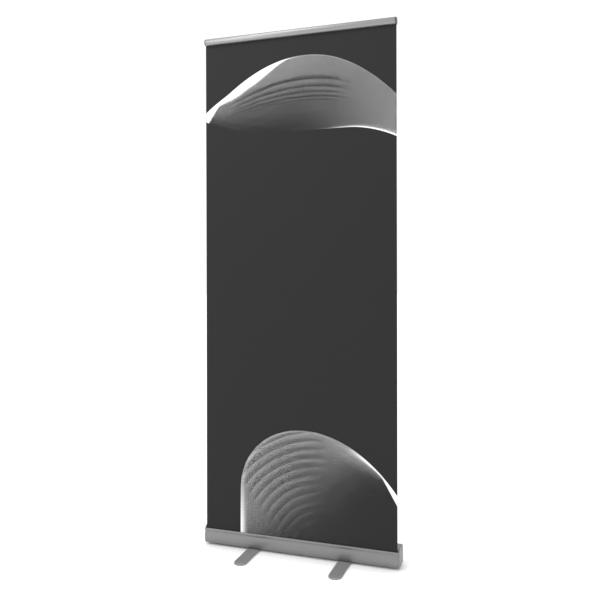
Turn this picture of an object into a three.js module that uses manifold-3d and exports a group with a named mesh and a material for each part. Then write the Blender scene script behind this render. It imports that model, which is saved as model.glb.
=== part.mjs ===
// Roll-up banner stand: a spring roller in an aluminium housing on two swivel feet, a telescopic pole with
// twist locks, and a snap-open clamp rail that holds the top of an 800 x 2000 mm graphic.
// Millimetres, +Z up, the graphic faces -Y. The origin is on the floor, midway between the two foot pivots.
import * as THREE from 'three';
import { mergeVertices } from 'three/addons/utils/BufferGeometryUtils.js';
import Module from 'manifold-3d';

const wasm = await Module();
wasm.setup();

// Driving dimensions
const GRAPHIC_WIDTH = 800;
const GRAPHIC_HEIGHT = 2000;
const FILM_Y = -34;
const FILM_THICKNESS = 0.5;
const GAP = 0.3;

// Housing: an open aluminium extrusion with a slot along its top front edge
const HOUSING_HALF_LENGTH = 403;
const HOUSING_HALF_DEPTH = 38;
const HOUSING_BOTTOM = 8.5;
const HOUSING_TOP = 82.5;
const HOUSING_WALL = 2;
const LIP = [-37, 70.5];
const SLOT_REAR = [-29.5, 78];
const CAP_THICKNESS = 6;
const CAP_ROUNDING = 2.6;
const SCREW_PORTS = [[-30, 15], [31.6, 15], [28, 74]];
const SCREW_PORT_RADIUS = 5;
const SCREW_HEAD_RADIUS = 3.4;
const SCREW_SHANK_RADIUS = 1.6;
const SCREW_LENGTH = 15;
const SCREW_CLEARANCE = 0.4;
const HEAD_RECESS = 2.6;
const CAP_RIB_REACH = 6;
const BEARING_RADIUS = 8.5;

// Roller: an aluminium tube that turns on a pin at one end and round a sprung arbor at the other
const ROLLER_Y = -15.5;
const ROLLER_Z = 38;
const ROLLER_RADIUS = 16;
const ROLLER_BORE = 14.5;
const ROLLER_HALF_LENGTH = 398.5;
const WOUND_RADIUS = 17.9;
const AXLE_RADIUS = 4;
const PLUG_LENGTH = 20;
const ARBOR_END = -90;
const COLLAR_RADIUS = 11.5;
const COLLAR_SPAN = [16, 4];
const SPRING_RADIUS = 8.2;
const SPRING_WIRE = 0.8;
const SPRING_TURNS = 16;
const SPRING_WIRE_SIDES = 5;

// Feet: hollow flat bars with a moulded shoe on each end
const FOOT_PIVOT_X = 191;
const FOOT_HALF_LENGTH = 188;
const FOOT_WIDTH = 52;
const BAR_HALF_LENGTH = 156;
const BAR_Z = [0.8, 6.6];
const BAR_WALL = 1.2;
const BAR_CHAMFER = 1.5;
const SHOE_Z = [0.5, 7];
const NOTCHES = [232.5, 255, 285, 307.5];
const NOTCH_DEPTH = 1.3;
const PAD_RADIUS = 10;
const PAD_RECESS = 1.4;
const PAD_FROM_BAR = 14;
const RIVET_RADIUS = 4;
const RIVET_FOOT_RADIUS = 7.5;
const RIVET_HEAD_RADIUS = 9;
const RIVET_ACCESS_RADIUS = 8.5;
const WASHER_RADIUS = 13;

// Pole: three telescopic tubes
const POLE_Y = 8;
const POLE_BOTTOM = 62.8;
const SECTION_LENGTH = 718;
const SECTION_OVERLAP = 70;
const SECTION_STEP = SECTION_LENGTH - SECTION_OVERLAP;
const TUBES = [
  { outer: 8, inner: 7.2 },
  { outer: 6.8, inner: 6.1 },
  { outer: 5.7, inner: 5 },
];
const LOCK_BELOW_TOP = 7.5;
const LOCK_BODY_HEIGHT = 30;
const LOCK_NUT_HEIGHT = 27;
const LOCK_NUT_WALL = 4;
const LOCK_NUT_FLUTES = 14;
const LOCK_NUT_FLUTE_DEPTH = 0.8;
const SOCKET_RADIUS = 10;
const SOCKET_FLANGE_RADIUS = 13.5;
const SOCKET_FLOOR = [59.4, 61.3];
const HEAD_RADIUS = 9.4;
const HEAD_SKIRT = 30;
const HOOK_ARM_HALF = 8;
const HOOK_TIP_HALF = 12;
const HOOK_THICKNESS = 3.7;
const HOOK_TIP_DEPTH = 4.2;
const HOOK_TIP_RISE = 4.8;

// Rail: a hollow back extrusion, slotted behind for the pole's hook, with a hinged front jaw.
// Heights here are above the rail's lower edge.
const RAIL_BOTTOM = LIP[1] + GRAPHIC_HEIGHT;
const RAIL_HEIGHT = 27;
const RAIL_HALF_LENGTH = 396;
const RAIL_CAP_THICKNESS = 5.7;
const RAIL_CAP_ROUNDING = 2.2;
const HINGE = [-36.5, 24];
const WEB_FRONT = -33.4;
const WEB_REAR = -31.6;
const RAIL_REAR = -23;
const RAIL_WALL = 1.8;
const FILM_IN_RAIL = 15;
const BEAD_RADIUS = 1.2;
const NECK_HALF = 0.45;
const CLAW_RADII = [1.6, 3];
const JAW_WALL = 1.4;
const JAW_LIP_HEIGHT = 6.5;
const JAW_FOOT_FRONT = -40.5;
const PEG_LENGTH = 13;
const HOOK_SLOT = [4, 16.5];
const HOOK_SLOT_HALF = 14;

const FINE = 32;
const COARSE = 16;

const silver = { color: 0x9b9c9d, roughness: 0.38, metalness: 0.85 };
const mouldedGrey = { color: 0x8e8f90, roughness: 0.5, metalness: 0.1 };
const railCapGrey = { color: 0x7c7d7e, roughness: 0.5, metalness: 0.1 };
const black = { color: 0x1d1e20, roughness: 0.55, metalness: 0 };
const steel = { color: 0xb4b6b8, roughness: 0.3, metalness: 1 };
const charcoal = { color: 0x383838, roughness: 0.75, metalness: 0 };
const rubber = { color: 0x222222, roughness: 0.85, metalness: 0 };
const footGrey = { color: 0x858687, roughness: 0.45, metalness: 0.7 };

const group = new THREE.Group();

function add(name, geometry, finish, parent = group) {
  const mesh = new THREE.Mesh(geometry, new THREE.MeshStandardMaterial(finish));
  mesh.name = name;
  parent.add(mesh);
  return mesh;
}

// Booleans

function toSolid(geometry) {
  const plain = geometry.clone();
  plain.deleteAttribute('normal');
  plain.deleteAttribute('uv');
  const merged = mergeVertices(plain, 1e-4);
  const vertProperties = new Float32Array(merged.attributes.position.array);
  const triVerts = new Uint32Array(merged.index.array);
  return new wasm.Manifold(new wasm.Mesh({ numProp: 3, vertProperties, triVerts }));
}

function toGeometry(solid) {
  const mesh = solid.getMesh();
  const geometry = new THREE.BufferGeometry();
  geometry.setAttribute('position', new THREE.BufferAttribute(mesh.vertProperties, 3));
  geometry.setIndex(new THREE.BufferAttribute(mesh.triVerts, 1));
  return geometry;
}

function join(...geometries) {
  return toGeometry(geometries.map(toSolid).reduce((a, b) => a.add(b)));
}

function cut(geometry, ...tools) {
  return toGeometry(tools.map(toSolid).reduce((a, b) => a.subtract(b), toSolid(geometry)));
}

// Basic solids

const ALONG_X = new THREE.Matrix4().makeBasis(
  new THREE.Vector3(0, 1, 0), new THREE.Vector3(0, 0, 1), new THREE.Vector3(1, 0, 0));
const ALONG_Y = new THREE.Matrix4().makeBasis(
  new THREE.Vector3(1, 0, 0), new THREE.Vector3(0, 0, 1), new THREE.Vector3(0, -1, 0));

function shapeOf(points) {
  return new THREE.Shape(points.map(([u, v]) => new THREE.Vector2(u, v)));
}

// A (y, z) section drawn out from x0 to x1
function extrudeX(shape, x0, x1) {
  const geometry = new THREE.ExtrudeGeometry(shape, { depth: x1 - x0, bevelEnabled: false, curveSegments: 6 });
  return geometry.applyMatrix4(ALONG_X).translate(x0, 0, 0);
}

// An (x, z) section drawn out from y0 to y1
function extrudeY(shape, y0, y1) {
  const geometry = new THREE.ExtrudeGeometry(shape, { depth: y1 - y0, bevelEnabled: false, curveSegments: 5 });
  return geometry.applyMatrix4(ALONG_Y).translate(0, y1, 0);
}

// An (x, y) section drawn up from z0 to z1
function extrudeZ(shape, z0, z1) {
  const geometry = new THREE.ExtrudeGeometry(shape, { depth: z1 - z0, bevelEnabled: false, curveSegments: 6 });
  return geometry.translate(0, 0, z0);
}

// A (radius, height) profile turned round a vertical axis through (x, y)
function turn(profile, x, y, segments = FINE) {
  const points = profile.map(([r, h]) => new THREE.Vector2(r, h));
  return new THREE.LatheGeometry(points, segments).rotateX(Math.PI / 2).translate(x, y, 0);
}

// A (radius, distance along +X) profile turned round the X axis through (y, z)
function turnX(profile, y, z, segments = FINE) {
  const points = profile.map(([r, h]) => new THREE.Vector2(r, h));
  return new THREE.LatheGeometry(points, segments).rotateZ(-Math.PI / 2).translate(0, y, z);
}

function ringProfile(inner, outer, from, to) {
  return [[inner, from], [outer, from], [outer, to], [inner, to], [inner, from]];
}

function rodProfile(radius, from, to) {
  return [[0, from], [radius, from], [radius, to], [0, to]];
}

function box(x0, x1, y0, y1, z0, z1) {
  const geometry = new THREE.BoxGeometry(x1 - x0, y1 - y0, z1 - z0);
  return geometry.translate((x0 + x1) / 2, (y0 + y1) / 2, (z0 + z1) / 2);
}

// Outlines

// Moves every point of a path to its left by a distance
function offsetPath(points, distance, closed) {
  const count = points.length;
  return points.map((point, i) => {
    const before = closed ? points[(i + count - 1) % count] : points[Math.max(i - 1, 0)];
    const after = closed ? points[(i + 1) % count] : points[Math.min(i + 1, count - 1)];
    const normals = [];
    for (const [a, b] of [[before, point], [point, after]]) {
      const length = Math.hypot(b[0] - a[0], b[1] - a[1]);
      if (length > 1e-6) normals.push([-(b[1] - a[1]) / length, (b[0] - a[0]) / length]);
    }
    const sum = normals.reduce((m, n) => [m[0] + n[0], m[1] + n[1]], [0, 0]);
    const scale = distance * normals.length / (sum[0] ** 2 + sum[1] ** 2);
    return [point[0] + sum[0] * scale, point[1] + sum[1] * scale];
  });
}

// A wall of even thickness along a path
function wallShape(points, thickness) {
  return shapeOf([...points, ...offsetPath(points, thickness, false).reverse()]);
}

// A closed solid through rings of equal point counts; place(at, u, v) gives a ring point's position
function loft(rings, place) {
  const count = rings[0].points.length;
  const positions = rings.flatMap(({ at, points }) => points.flatMap(([u, v]) => place(at, u, v)));
  const index = [];
  for (let r = 0; r < rings.length - 1; r += 1) {
    for (let i = 0; i < count; i += 1) {
      const a = r * count + i;
      const b = r * count + (i + 1) % count;
      index.push(a, b, b + count, a, b + count, a + count);
    }
  }
  const ends = [rings[0], rings[rings.length - 1]];
  ends.forEach(({ points }, end) => {
    const contour = points.map(([u, v]) => new THREE.Vector2(u, v));
    const base = end * (rings.length - 1) * count;
    for (const [a, b, c] of THREE.ShapeUtils.triangulateShape(contour, [])) {
      index.push(base + a, base + (end ? b : c), base + (end ? c : b));
    }
  });
  const geometry = new THREE.BufferGeometry();
  geometry.setAttribute('position', new THREE.Float32BufferAttribute(positions, 3));
  geometry.setIndex(index);
  return geometry;
}

// Rings of a plate whose outer edge is rounded, from the inner face to the outer face at side * (at + thickness)
function roundedPlate(outline, at, thickness, rounding, side) {
  const rings = [{ at: side * at, points: outline }];
  for (const degrees of [0, 30, 60, 90]) {
    const angle = THREE.MathUtils.degToRad(degrees);
    const inset = rounding * (1 - Math.cos(angle));
    const reach = at + thickness - rounding * (1 - Math.sin(angle));
    rings.push({ at: side * reach, points: offsetPath(outline, inset, true) });
  }
  if (side < 0) rings.reverse();
  return loft(rings, (x, y, z) => [x, y, z]);
}

function pathPoints(path, divisions) {
  return path.getPoints(divisions).map((p) => [p.x, p.y]);
}

// The housing's outer skin, from the front lip down, under, up the back and over to the slot's rear edge
function housingPath() {
  const d = HOUSING_HALF_DEPTH;
  const path = new THREE.Path();
  path.moveTo(...LIP);
  path.quadraticCurveTo(-d - 1, 42, -d + 1.8, 16);
  path.quadraticCurveTo(-d + 2.6, HOUSING_BOTTOM, -28, HOUSING_BOTTOM);
  path.lineTo(30, HOUSING_BOTTOM);
  path.quadraticCurveTo(d, HOUSING_BOTTOM, d, HOUSING_BOTTOM + 8);
  path.lineTo(d, 66);
  path.quadraticCurveTo(d - 2, HOUSING_TOP - 0.5, 18, HOUSING_TOP);
  path.lineTo(-16, HOUSING_TOP);
  path.quadraticCurveTo(-25, HOUSING_TOP, ...SLOT_REAR);
  return pathPoints(path, 6);
}

// The end cap's outline: the housing's skin closed over the slot
function capOutline() {
  const closing = new THREE.Path();
  closing.moveTo(...SLOT_REAR);
  closing.quadraticCurveTo(-35.6, 76, ...LIP);
  return [...housingPath(), ...pathPoints(closing, 4).slice(1, -1)];
}

function housing() {
  const skin = housingPath();
  const shell = extrudeX(wallShape(skin, HOUSING_WALL), -HOUSING_HALF_LENGTH, HOUSING_HALF_LENGTH);
  const ports = SCREW_PORTS.map(([y, z]) => turnX(
    ringProfile(SCREW_SHANK_RADIUS + SCREW_CLEARANCE, SCREW_PORT_RADIUS, -HOUSING_HALF_LENGTH, HOUSING_HALF_LENGTH),
    y, z, COARSE));
  const rivetHoles = [-1, 1].map((side) => turn(
    rodProfile(RIVET_RADIUS + GAP, HOUSING_BOTTOM - 2, HOUSING_BOTTOM + 4), side * FOOT_PIVOT_X, 0));
  const socketHole = turn(rodProfile(SOCKET_RADIUS + 0.4, HOUSING_TOP - 4, HOUSING_TOP + 2), 0, POLE_Y);
  add('housing_extrusion', cut(join(shell, ...ports), ...rivetHoles, socketHole), silver);
}

function endCap(name, side) {
  const at = HOUSING_HALF_LENGTH + GAP;
  const outer = at + CAP_THICKNESS;
  const along = (from, to) => (side > 0 ? [from, to] : [-to, -from]);
  const plate = roundedPlate(capOutline(), at, CAP_THICKNESS, CAP_ROUNDING, side);
  const bearing = turnX(rodProfile(BEARING_RADIUS, ...along(at - 3, at + 1)), ROLLER_Y, ROLLER_Z);
  const ribs = [
    box(...along(at - CAP_RIB_REACH, at + 1), -20, 20, 10.9, 12.9),
    box(...along(at - CAP_RIB_REACH, at + 1), 33.6, 35.6, 24, 62),
  ];
  const screwCuts = SCREW_PORTS.flatMap(([y, z]) => [
    turnX(rodProfile(SCREW_SHANK_RADIUS + SCREW_CLEARANCE, ...along(at - 1, outer + 1)), y, z, COARSE),
    turnX(rodProfile(SCREW_HEAD_RADIUS + GAP, ...along(outer - HEAD_RECESS, outer + 1)), y, z, COARSE),
  ]);
  const socket = side > 0
    ? turnX(rodProfile(AXLE_RADIUS + GAP, at - 4, at + 4), ROLLER_Y, ROLLER_Z, COARSE)
    : box(-at - 4, -at + 4, ROLLER_Y - 4.1, ROLLER_Y + 4.1, ROLLER_Z - 2.8, ROLLER_Z + 2.8);
  add(name, cut(join(plate, bearing, ...ribs), ...screwCuts, socket), mouldedGrey);

  const head = outer - HEAD_RECESS + GAP;
  SCREW_PORTS.forEach(([y, z], i) => {
    const tip = head - SCREW_LENGTH;
    const profile = [[0, tip], [SCREW_SHANK_RADIUS, tip + 2], [SCREW_SHANK_RADIUS, head],
      [SCREW_HEAD_RADIUS, head], [SCREW_HEAD_RADIUS, head + 1.1], [2.2, head + 2], [0, head + 2.1]];
    const turned = turnX(profile, 0, 0, COARSE);
    const recess = [box(head + 0.9, head + 4, -0.4, 0.4, -1.8, 1.8), box(head + 0.9, head + 4, -1.8, 1.8, -0.4, 0.4)];
    const screw = add(`${name}_screw_${i + 1}`, cut(turned, ...recess), steel);
    screw.position.set(0, y, z);
    screw.rotation.z = side > 0 ? 0 : Math.PI;
  });
}

function roller() {
  const end = ROLLER_HALF_LENGTH;
  add('roller_tube', turnX(ringProfile(ROLLER_BORE, ROLLER_RADIUS, -end, end), ROLLER_Y, ROLLER_Z), silver);
  const half = GRAPHIC_WIDTH / 2;
  const wound = ringProfile(ROLLER_RADIUS + GAP, WOUND_RADIUS, -half, half);
  add('film_roll', turnX(wound, ROLLER_Y, ROLLER_Z), charcoal);

  // Each plug is a sleeve in the tube's end with a thin flange outside it
  const bore = AXLE_RADIUS + GAP;
  const inner = end - PLUG_LENGTH;
  const plug = [[bore, inner], [ROLLER_BORE - GAP, inner], [ROLLER_BORE - GAP, end + GAP],
    [ROLLER_RADIUS - GAP, end + GAP], [ROLLER_RADIUS - GAP, end + 1.3], [bore, end + 1.3], [bore, inner]];
  add('roller_idler_plug', turnX(plug, ROLLER_Y, ROLLER_Z), black);
  const mirrored = plug.map(([r, h]) => [r, -h]).reverse();
  add('roller_spring_plug', turnX(mirrored, ROLLER_Y, ROLLER_Z), black);

  const pin = rodProfile(AXLE_RADIUS, end - 13, HOUSING_HALF_LENGTH + 4);
  add('idler_pin', turnX(pin, ROLLER_Y, ROLLER_Z, COARSE), steel);
  const shaft = turnX(rodProfile(AXLE_RADIUS, -HOUSING_HALF_LENGTH + 3.2, ARBOR_END), ROLLER_Y, ROLLER_Z, COARSE);
  const key = box(-HOUSING_HALF_LENGTH - 4, -HOUSING_HALF_LENGTH + 5,
    ROLLER_Y - 3.8, ROLLER_Y + 3.8, ROLLER_Z - 2.5, ROLLER_Z + 2.5);
  const keyRound = turnX(rodProfile(AXLE_RADIUS, -HOUSING_HALF_LENGTH - 6, ARBOR_END), ROLLER_Y, ROLLER_Z, COARSE);
  const keyed = toGeometry(toSolid(key).intersect(toSolid(keyRound)));
  add('spring_arbor', join(shaft, keyed), steel);
  const [collarFrom, collarTo] = COLLAR_SPAN.map((back) => ARBOR_END - back);
  const collar = ringProfile(bore, COLLAR_RADIUS, collarFrom, collarTo);
  add('arbor_collar', turnX(collar, ROLLER_Y, ROLLER_Z), black);
  torsionSpring(-inner + GAP + SPRING_WIRE, collarFrom - GAP - SPRING_WIRE);
}

class Helix extends THREE.Curve {
  constructor(from, to, radius, turns) {
    super();
    Object.assign(this, { from, to, radius, turns });
  }

  getPoint(t, target = new THREE.Vector3()) {
    const angle = t * this.turns * Math.PI * 2;
    const x = this.from + (this.to - this.from) * t;
    return target.set(x, this.radius * Math.cos(angle), this.radius * Math.sin(angle));
  }
}

function torsionSpring(from, to) {
  const path = new Helix(from, to, SPRING_RADIUS, SPRING_TURNS);
  const wire = new THREE.Shape(Array.from({ length: SPRING_WIRE_SIDES }, (_, i) => {
    const angle = i / SPRING_WIRE_SIDES * Math.PI * 2;
    return new THREE.Vector2(SPRING_WIRE * Math.cos(angle), SPRING_WIRE * Math.sin(angle));
  }));
  const steps = SPRING_TURNS * 10;
  const geometry = new THREE.ExtrudeGeometry(wire, { steps, extrudePath: path, bevelEnabled: false });
  add('torsion_spring', geometry.translate(0, ROLLER_Y, ROLLER_Z), steel);
}

function shoeOutline() {
  const nose = FOOT_HALF_LENGTH - FOOT_WIDTH / 2;
  const half = FOOT_WIDTH / 2;
  const points = [[half, -BAR_HALF_LENGTH - GAP], [-half, -BAR_HALF_LENGTH - GAP]];
  // The rounded nose carries four small grip notches
  for (let degrees = 180; degrees <= 360; degrees += 7.5) {
    const angle = THREE.MathUtils.degToRad(degrees);
    const reach = NOTCHES.includes(degrees) ? half - NOTCH_DEPTH : half;
    points.push([reach * Math.cos(angle), -nose + reach * Math.sin(angle)]);
  }
  return points;
}

function shoe() {
  const outline = shoeOutline();
  const [low, high] = SHOE_Z;
  const rings = [[low, 0.6], [low + 0.6, 0], [high - 0.9, 0], [high, 1.1]];
  const body = loft(rings.map(([at, inset]) => ({ at, points: offsetPath(outline, inset, true) })),
    (z, x, y) => [x, y, z]);
  const tongue = box(-FOOT_WIDTH / 2 + 1.7, FOOT_WIDTH / 2 - 1.7, -BAR_HALF_LENGTH - 1, -BAR_HALF_LENGTH + 14,
    BAR_Z[0] + 1.6, BAR_Z[1] - 1.6);
  const recess = turn(rodProfile(PAD_RADIUS + GAP, low - 1, low + PAD_RECESS), 0, -BAR_HALF_LENGTH - PAD_FROM_BAR);
  return cut(join(body, tongue), recess);
}

function foot(name, side) {
  const pivot = new THREE.Group();
  pivot.position.x = side * FOOT_PIVOT_X;
  group.add(pivot);

  const half = FOOT_WIDTH / 2;
  const [low, high] = BAR_Z;
  const c = BAR_CHAMFER;
  const section = shapeOf([[-half + c, low], [half - c, low], [half, low + c], [half, high - c],
    [half - c, high], [-half + c, high], [-half, high - c], [-half, low + c]]);
  const hollow = shapeOf([[-half + BAR_WALL, low + BAR_WALL], [-half + BAR_WALL, high - BAR_WALL],
    [half - BAR_WALL, high - BAR_WALL], [half - BAR_WALL, low + BAR_WALL]]);
  section.holes.push(hollow);
  const bar = cut(extrudeY(section, -BAR_HALF_LENGTH, BAR_HALF_LENGTH),
    turn(rodProfile(RIVET_RADIUS + GAP, high - 2, high + 1), 0, 0),
    turn(rodProfile(RIVET_ACCESS_RADIUS, low - 1, low + 2), 0, 0));
  add(`${name}_bar`, bar, footGrey, pivot);

  for (const [end, turned] of [['front', 0], ['back', Math.PI]]) {
    add(`${name}_${end}_shoe`, shoe(), mouldedGrey, pivot).rotation.z = turned;
    const pad = turn(rodProfile(PAD_RADIUS, 0, SHOE_Z[0] + PAD_RECESS - GAP), 0, -BAR_HALF_LENGTH - PAD_FROM_BAR);
    add(`${name}_${end}_pad`, pad, rubber, pivot).rotation.z = turned;
  }

  const under = high - BAR_WALL - GAP;
  const above = HOUSING_BOTTOM + HOUSING_WALL + GAP;
  const rivet = [[0, under - 1.6], [RIVET_FOOT_RADIUS, under - 1.6], [RIVET_FOOT_RADIUS, under],
    [RIVET_RADIUS, under], [RIVET_RADIUS, above], [RIVET_HEAD_RADIUS, above], [RIVET_HEAD_RADIUS, above + 0.9],
    [RIVET_HEAD_RADIUS - 2.5, above + 2.1], [0, above + 2.6]];
  add(`${name}_rivet`, turn(rivet, 0, 0, 24), steel, pivot);
  const washer = ringProfile(RIVET_RADIUS + GAP, WASHER_RADIUS, high + GAP, HOUSING_BOTTOM - GAP);
  add(`${name}_washer`, turn(washer, 0, 0), black, pivot);
}

function fluted(radius, depth, flutes) {
  const points = [];
  const steps = flutes * 4;
  for (let i = 0; i < steps; i += 1) {
    const angle = i / steps * Math.PI * 2;
    const r = radius - (i % 4 === 2 ? depth : 0);
    points.push([r * Math.cos(angle), r * Math.sin(angle)]);
  }
  return shapeOf(points);
}

// The fixed sleeve on a tube's top end, and the ribbed nut that tightens on the next tube
function twistLock(name, tube, next, tubeTop) {
  const bodyTop = tubeTop - LOCK_BELOW_TOP;
  const sleeve = [[tube.outer + GAP, bodyTop - LOCK_BODY_HEIGHT], [tube.outer + 1.4, bodyTop - LOCK_BODY_HEIGHT],
    [tube.outer + 2.6, bodyTop - LOCK_BODY_HEIGHT + 5], [tube.outer + 2.6, bodyTop], [tube.outer + GAP, bodyTop],
    [tube.outer + GAP, bodyTop - LOCK_BODY_HEIGHT]];
  add(`lock_body_${name}`, turn(sleeve, 0, POLE_Y), black);

  const nutBottom = bodyTop + GAP;
  const nutTop = nutBottom + LOCK_NUT_HEIGHT;
  const flutes = fluted(tube.outer + LOCK_NUT_WALL, LOCK_NUT_FLUTE_DEPTH, LOCK_NUT_FLUTES);
  const grip = extrudeZ(flutes, nutBottom, nutTop - 3).translate(0, POLE_Y, 0);
  const crown = turn([[0, nutTop - 4], [tube.outer + 3, nutTop - 4], [tube.outer + 3, nutTop - 3],
    [tube.outer + 1, nutTop], [0, nutTop]], 0, POLE_Y);
  const bore = turn(rodProfile(tube.outer + 0.5, nutBottom - 1, tubeTop + 2), 0, POLE_Y);
  const mouth = turn(rodProfile(next.outer + GAP, nutBottom - 1, nutTop + 1), 0, POLE_Y);
  add(`lock_nut_${name}`, cut(join(grip, crown), bore, mouth), black);
}

function pole() {
  const names = ['lower', 'middle', 'upper'];
  names.forEach((name, i) => {
    const { outer, inner } = TUBES[i];
    const bottom = POLE_BOTTOM + i * SECTION_STEP;
    const top = bottom + SECTION_LENGTH;
    add(`pole_${name}_tube`, turn(ringProfile(inner, outer, bottom, top), 0, POLE_Y), silver);
    const plug = [[0, bottom - 1.2], [outer - 0.1, bottom - 1.2], [outer - 0.1, bottom - GAP],
      [inner - GAP, bottom - GAP], [inner - GAP, bottom + 13], [inner - 1.3, bottom + 15], [0, bottom + 15]];
    add(`pole_${name}_plug`, turn(plug, 0, POLE_Y, COARSE), black);
    if (i < 2) twistLock(name, TUBES[i], TUBES[i + 1], top);
  });

  // The socket is a flanged cup let into the housing's top
  const [underFloor, floor] = SOCKET_FLOOR;
  const flangeTop = HOUSING_TOP + 2.5;
  const cup = [[0, underFloor], [SOCKET_RADIUS, underFloor], [SOCKET_RADIUS, HOUSING_TOP + GAP],
    [SOCKET_FLANGE_RADIUS, HOUSING_TOP + GAP], [SOCKET_FLANGE_RADIUS, flangeTop - 0.9],
    [SOCKET_FLANGE_RADIUS - 1, flangeTop], [TUBES[0].outer + GAP, flangeTop], [TUBES[0].outer + GAP, floor],
    [0, floor]];
  add('pole_socket', turn(cup, 0, POLE_Y), black);

  // The head is a cap on the upper tube with an arm forward to a hook in the rail's rear slot
  const tubeTop = POLE_BOTTOM + 2 * SECTION_STEP + SECTION_LENGTH;
  const saddleTop = RAIL_BOTTOM + HOOK_SLOT[1] - GAP;
  const saddleBottom = saddleTop - HOOK_THICKNESS;
  const hookRear = RAIL_REAR - RAIL_WALL - GAP;
  const hookFront = hookRear - HOOK_TIP_DEPTH;
  const skirtFoot = tubeTop - HEAD_SKIRT;
  const skirt = turn([[0, skirtFoot], [HEAD_RADIUS - 0.8, skirtFoot], [HEAD_RADIUS, skirtFoot + 4],
    [HEAD_RADIUS, saddleTop - 2], [HEAD_RADIUS - 1.6, saddleTop], [0, saddleTop]], 0, POLE_Y);
  const arm = box(-HOOK_ARM_HALF, HOOK_ARM_HALF, RAIL_REAR + 0.6, POLE_Y, saddleBottom - 6, saddleTop);
  const saddle = box(-HOOK_TIP_HALF, HOOK_TIP_HALF, hookFront, RAIL_REAR + 3, saddleBottom, saddleTop);
  const tip = box(-HOOK_TIP_HALF, HOOK_TIP_HALF, hookFront, hookRear, saddleTop - 2, saddleTop + HOOK_TIP_RISE);
  const socket = turn(rodProfile(TUBES[2].outer + GAP, skirtFoot - 1, tubeTop + GAP), 0, POLE_Y);
  add('pole_head', cut(join(skirt, arm, saddle, tip), socket), black);
}

// The rail's outer skin from the hinge over the front to the lower lip
function jawPath() {
  const path = new THREE.Path();
  path.moveTo(HINGE[0], RAIL_HEIGHT);
  path.quadraticCurveTo(-46.6, RAIL_HEIGHT + 0.4, -48, 16);
  path.quadraticCurveTo(-48.4, 0.4, -39.5, 0);
  return pathPoints(path, 7);
}

// The back's outer skin, from the web's foot round the rear and over to the web's top
function railBackSkin() {
  const path = new THREE.Path();
  path.moveTo(WEB_FRONT, 0);
  path.lineTo(RAIL_REAR - 4, 0);
  path.quadraticCurveTo(RAIL_REAR, 0, RAIL_REAR, HOOK_SLOT[0]);
  path.lineTo(RAIL_REAR, RAIL_HEIGHT - 5);
  path.quadraticCurveTo(RAIL_REAR, RAIL_HEIGHT, RAIL_REAR - 5, RAIL_HEIGHT);
  path.lineTo(WEB_FRONT, RAIL_HEIGHT);
  return pathPoints(path, 5);
}

function arc([y, z], radius, from, to, steps) {
  return Array.from({ length: steps + 1 }, (_, i) => {
    const angle = THREE.MathUtils.degToRad(from + (to - from) * i / steps);
    return [y + radius * Math.cos(angle), z + radius * Math.sin(angle)];
  });
}

function rail() {
  const frame = new THREE.Group();
  frame.position.z = RAIL_BOTTOM;
  group.add(frame);
  const drawn = (shape) => extrudeX(shape, -RAIL_HALF_LENGTH, RAIL_HALF_LENGTH);

  const web = drawn(shapeOf([[WEB_FRONT, 0], [WEB_REAR, 0], [WEB_REAR, RAIL_HEIGHT], [WEB_FRONT, RAIL_HEIGHT]]));
  const shellBack = drawn(wallShape(railBackSkin(), RAIL_WALL));
  const bead = drawn(shapeOf(arc(HINGE, BEAD_RADIUS, 0, 330, 11)));
  const neck = box(-RAIL_HALF_LENGTH, RAIL_HALF_LENGTH, HINGE[0], WEB_REAR,
    HINGE[1] - NECK_HALF, HINGE[1] + NECK_HALF);
  const slot = box(-HOOK_SLOT_HALF, HOOK_SLOT_HALF, RAIL_REAR - RAIL_WALL - 1, RAIL_REAR + 1, ...HOOK_SLOT);
  add('rail_back', cut(join(web, shellBack, bead, neck), slot), silver, frame);

  // The jaw's claw wraps the hinge bead; its lip presses the film against the web
  const lip = FILM_Y - FILM_THICKNESS / 2 - GAP - 0.05;
  const [clawInner, clawOuter] = CLAW_RADII;
  const claw = drawn(shapeOf([...arc(HINGE, clawOuter, 90, 300, 14), ...arc(HINGE, clawInner, 300, 90, 14)]));
  const shell = drawn(wallShape(jawPath(), JAW_WALL));
  const foot = drawn(shapeOf([[JAW_FOOT_FRONT, 0], [lip, 0], [lip, JAW_LIP_HEIGHT],
    [lip - JAW_WALL, JAW_LIP_HEIGHT], [lip - JAW_WALL, JAW_WALL], [JAW_FOOT_FRONT, JAW_WALL]]));
  add('rail_jaw', join(claw, shell, foot), silver, frame);

  const outline = [...jawPath(), ...railBackSkin().slice(1, -1)];
  for (const [name, side] of [['rail_cap_left', -1], ['rail_cap_right', 1]]) {
    const at = RAIL_HALF_LENGTH + GAP;
    const plate = roundedPlate(outline, at, RAIL_CAP_THICKNESS, RAIL_CAP_ROUNDING, side);
    const along = side > 0 ? [at - PEG_LENGTH, at + 1] : [-at - 1, -at + PEG_LENGTH];
    const peg = box(...along, WEB_REAR + GAP, RAIL_REAR - RAIL_WALL - GAP, HOOK_SLOT[0] + 2, HOOK_SLOT[1] - 2);
    add(name, join(plate, peg), railCapGrey, frame);
  }
}

// The printed film from the roller's front tangent up into the rail, its top corners trimmed to clear the caps
function film() {
  const half = GRAPHIC_WIDTH / 2;
  const trimmed = RAIL_HALF_LENGTH - 0.5;
  const shoulder = RAIL_BOTTOM - GAP;
  const top = RAIL_BOTTOM + FILM_IN_RAIL;
  const outline = shapeOf([[-half, ROLLER_Z], [half, ROLLER_Z], [half, shoulder], [trimmed, shoulder],
    [trimmed, top], [-trimmed, top], [-trimmed, shoulder], [-half, shoulder]]);
  add('banner_film', extrudeY(outline, FILM_Y - FILM_THICKNESS / 2, FILM_Y + FILM_THICKNESS / 2), charcoal);
}

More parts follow.
